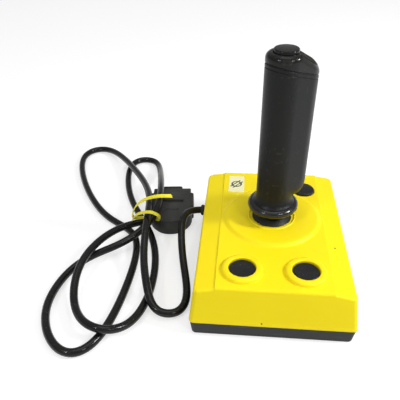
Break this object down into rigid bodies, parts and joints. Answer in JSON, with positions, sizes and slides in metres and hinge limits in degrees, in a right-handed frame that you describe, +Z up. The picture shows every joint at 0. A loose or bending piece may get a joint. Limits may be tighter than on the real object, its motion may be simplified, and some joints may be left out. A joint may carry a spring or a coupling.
{
  "type": "game joystick",
  "caption": "Free-standing game joystick: two-tone plastic housing, two-axis gimbal stick with a pistol grip and thumb button, sprung push buttons, lead with a D-type plug.",
  "frame": {"origin": "on the table, under the middle of the housing's footprint", "axes": "+Z up along the stick, +X to the player's right, +Y away from the player"},
  "size_m": [0.2269, 0.2483, 0.1494],
  "materials": {
    "shell_yellow": "satin moulded, lightly worn",
    "tray_grey": "fine moulded grain",
    "grip_black": "satin moulded",
    "button_black": "satin moulded",
    "bearing_nylon": "natural moulded",
    "steel": "bright drawn",
    "spring_steel": "bright wire",
    "board_green": "varnished laminate",
    "switch_grey": "moulded",
    "contact_brass": "plated",
    "foot_rubber": "matte",
    "lead_vinyl": "satin extruded",
    "plug_black": "fine moulded grain",
    "plug_steel": "plated",
    "label_paper": "printed",
    "tie_yellow": "coated wire strip"
  },
  "bodies": {
    "base": {"base_tray": "tray_grey", "upper_shell": "shell_yellow", "rubber_feet": "foot_rubber", "case_screws": "steel", "circuit_board": "board_green", "board_screws": "steel", "pivot_housing": "bearing_nylon", "housing_screws": "steel", "direction_switches": "switch_grey", "contact_domes": "contact_brass", "board_connector": "bearing_nylon", "centring_spring": "spring_steel", "left_button_spring": "spring_steel", "right_button_spring": "spring_steel", "rear_button_spring": "spring_steel", "label_sticker": "label_paper", "lead_bushing": "lead_vinyl", "lead_cord": "lead_vinyl", "plug_hood": "plug_black", "plug_shell": "plug_steel", "plug_insert": "plug_black", "plug_contacts": "contact_brass", "twist_tie": "tie_yellow"},
    "gimbal": {"gimbal_ring": "switch_grey", "gimbal_pins": "steel"},
    "stick": {"stick_shaft": "steel", "cross_pin": "steel", "actuator_disc": "bearing_nylon", "actuator_screw": "steel", "dust_dome": "grip_black", "collar": "grip_black", "grip_body": "grip_black", "grip_cap": "grip_black", "thumb_board": "board_green", "thumb_switch": "switch_grey", "thumb_spring": "spring_steel"},
    "thumb_cap": {"thumb_button": "button_black"},
    "left_fire": {"left_fire_button": "button_black"},
    "right_fire": {"right_fire_button": "button_black"},
    "rear_push": {"rear_button": "button_black"}
  },
  "joints": [
    {"name": "stick_fore_aft", "type": "hinge", "parent": "base", "child": "gimbal", "pos_m": [0, 0.0094, 0.022], "axis": [1, 0, 0], "range_deg": [-13, 13], "stiffness_Nm_per_rad": 1.5, "deforming": ["centring_spring"]},
    {"name": "stick_left_right", "type": "hinge", "parent": "gimbal", "child": "stick", "pos_m": [0, 0.0094, 0.022], "axis": [0, 1, 0], "range_deg": [-13, 13], "stiffness_Nm_per_rad": 1.5, "deforming": ["centring_spring"]},
    {"name": "thumb_press", "type": "slide", "parent": "stick", "child": "thumb_cap", "axis": [0, 0, -1], "range_m": [0, 0.0015], "stiffness_N_per_m": 250, "springref_m": -0.004, "deforming": ["thumb_spring"]},
    {"name": "left_fire_press", "type": "slide", "parent": "base", "child": "left_fire", "axis": [0, 0, -1], "range_m": [0, 0.002], "stiffness_N_per_m": 200, "springref_m": -0.004, "deforming": ["left_button_spring"]},
    {"name": "right_fire_press", "type": "slide", "parent": "base", "child": "right_fire", "axis": [0, 0, -1], "range_m": [0, 0.002], "stiffness_N_per_m": 200, "springref_m": -0.004, "deforming": ["right_button_spring"]},
    {"name": "rear_press", "type": "slide", "parent": "base", "child": "rear_push", "axis": [0, 0, -1], "range_m": [0, 0.002], "stiffness_N_per_m": 200, "springref_m": -0.004, "deforming": ["rear_button_spring"]}
  ]
}
